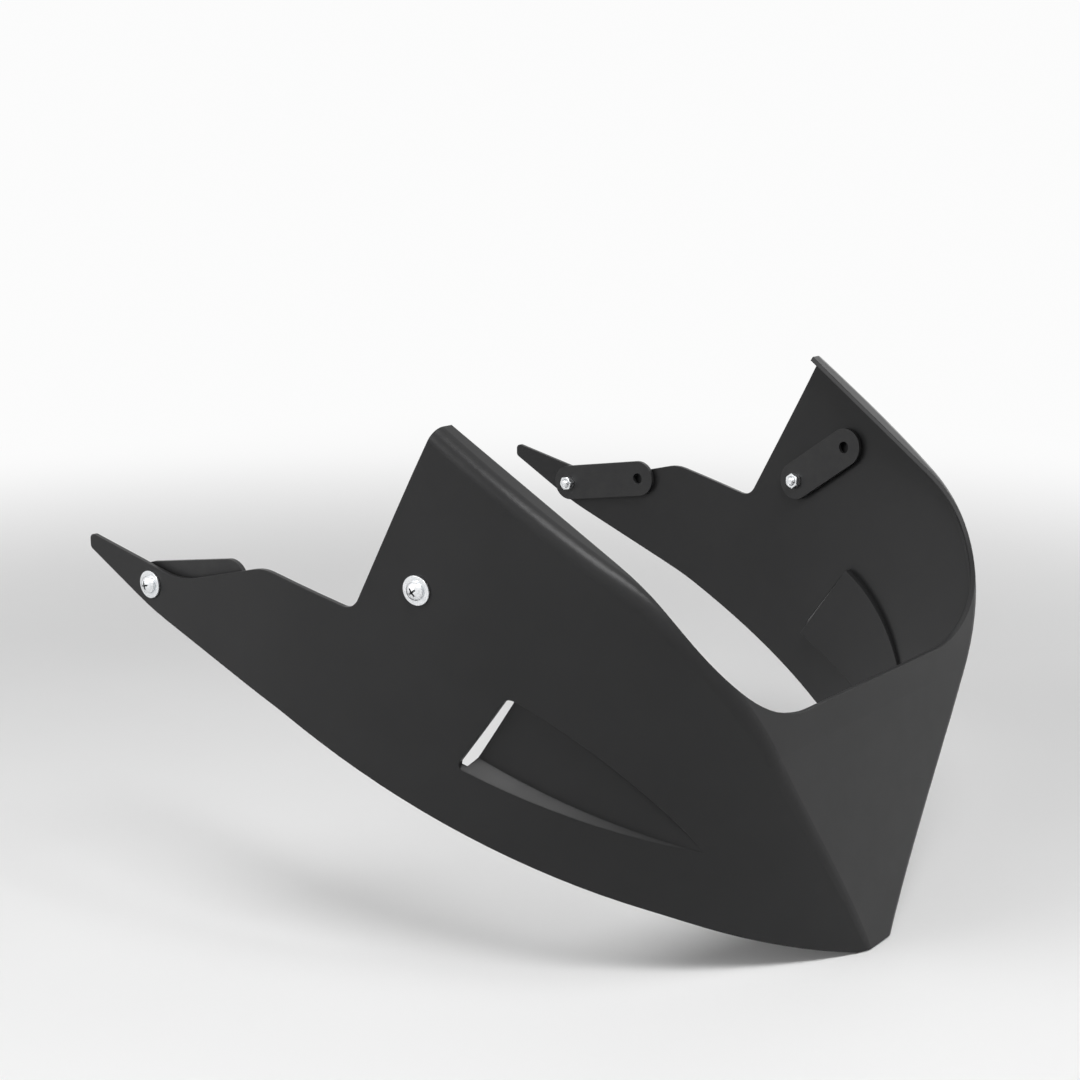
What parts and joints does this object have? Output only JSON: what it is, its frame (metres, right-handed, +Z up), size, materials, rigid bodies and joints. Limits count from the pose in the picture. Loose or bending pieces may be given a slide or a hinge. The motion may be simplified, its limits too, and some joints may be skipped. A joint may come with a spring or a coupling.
{
  "type": "engine guard",
  "caption": "Moulded black engine guard with a prow front, rolled shoulders, an open front, recessed side vents and strap mounts for a motorbike.",
  "frame": {"origin": "on the mid-plane, at half the length, level with the underside of the toe", "axes": "+X forward, +Y to the left, +Z up"},
  "size_m": [0.474, 0.4682, 0.3391],
  "materials": {
    "pan": "satin black moulding with a fine even grain",
    "zinc": "bright zinc plate",
    "strap": "satin black coat on steel strip",
    "rubber": "plain black rubber"
  },
  "bodies": {
    "root": {"pan_shell": "pan", "front_screw_right": "zinc", "front_washer_right": "zinc", "front_rubber_right": "rubber", "front_strap_right": "strap", "front_nut_right": "zinc", "front_screw_left": "zinc", "front_washer_left": "zinc", "front_rubber_left": "rubber", "front_strap_left": "strap", "front_nut_left": "zinc", "rear_screw_right": "zinc", "rear_washer_right": "zinc", "rear_rubber_right": "rubber", "rear_strap_right": "strap", "rear_nut_right": "zinc", "rear_screw_left": "zinc", "rear_washer_left": "zinc", "rear_rubber_left": "rubber", "rear_strap_left": "strap", "rear_nut_left": "zinc"}
  },
  "joints": []
}
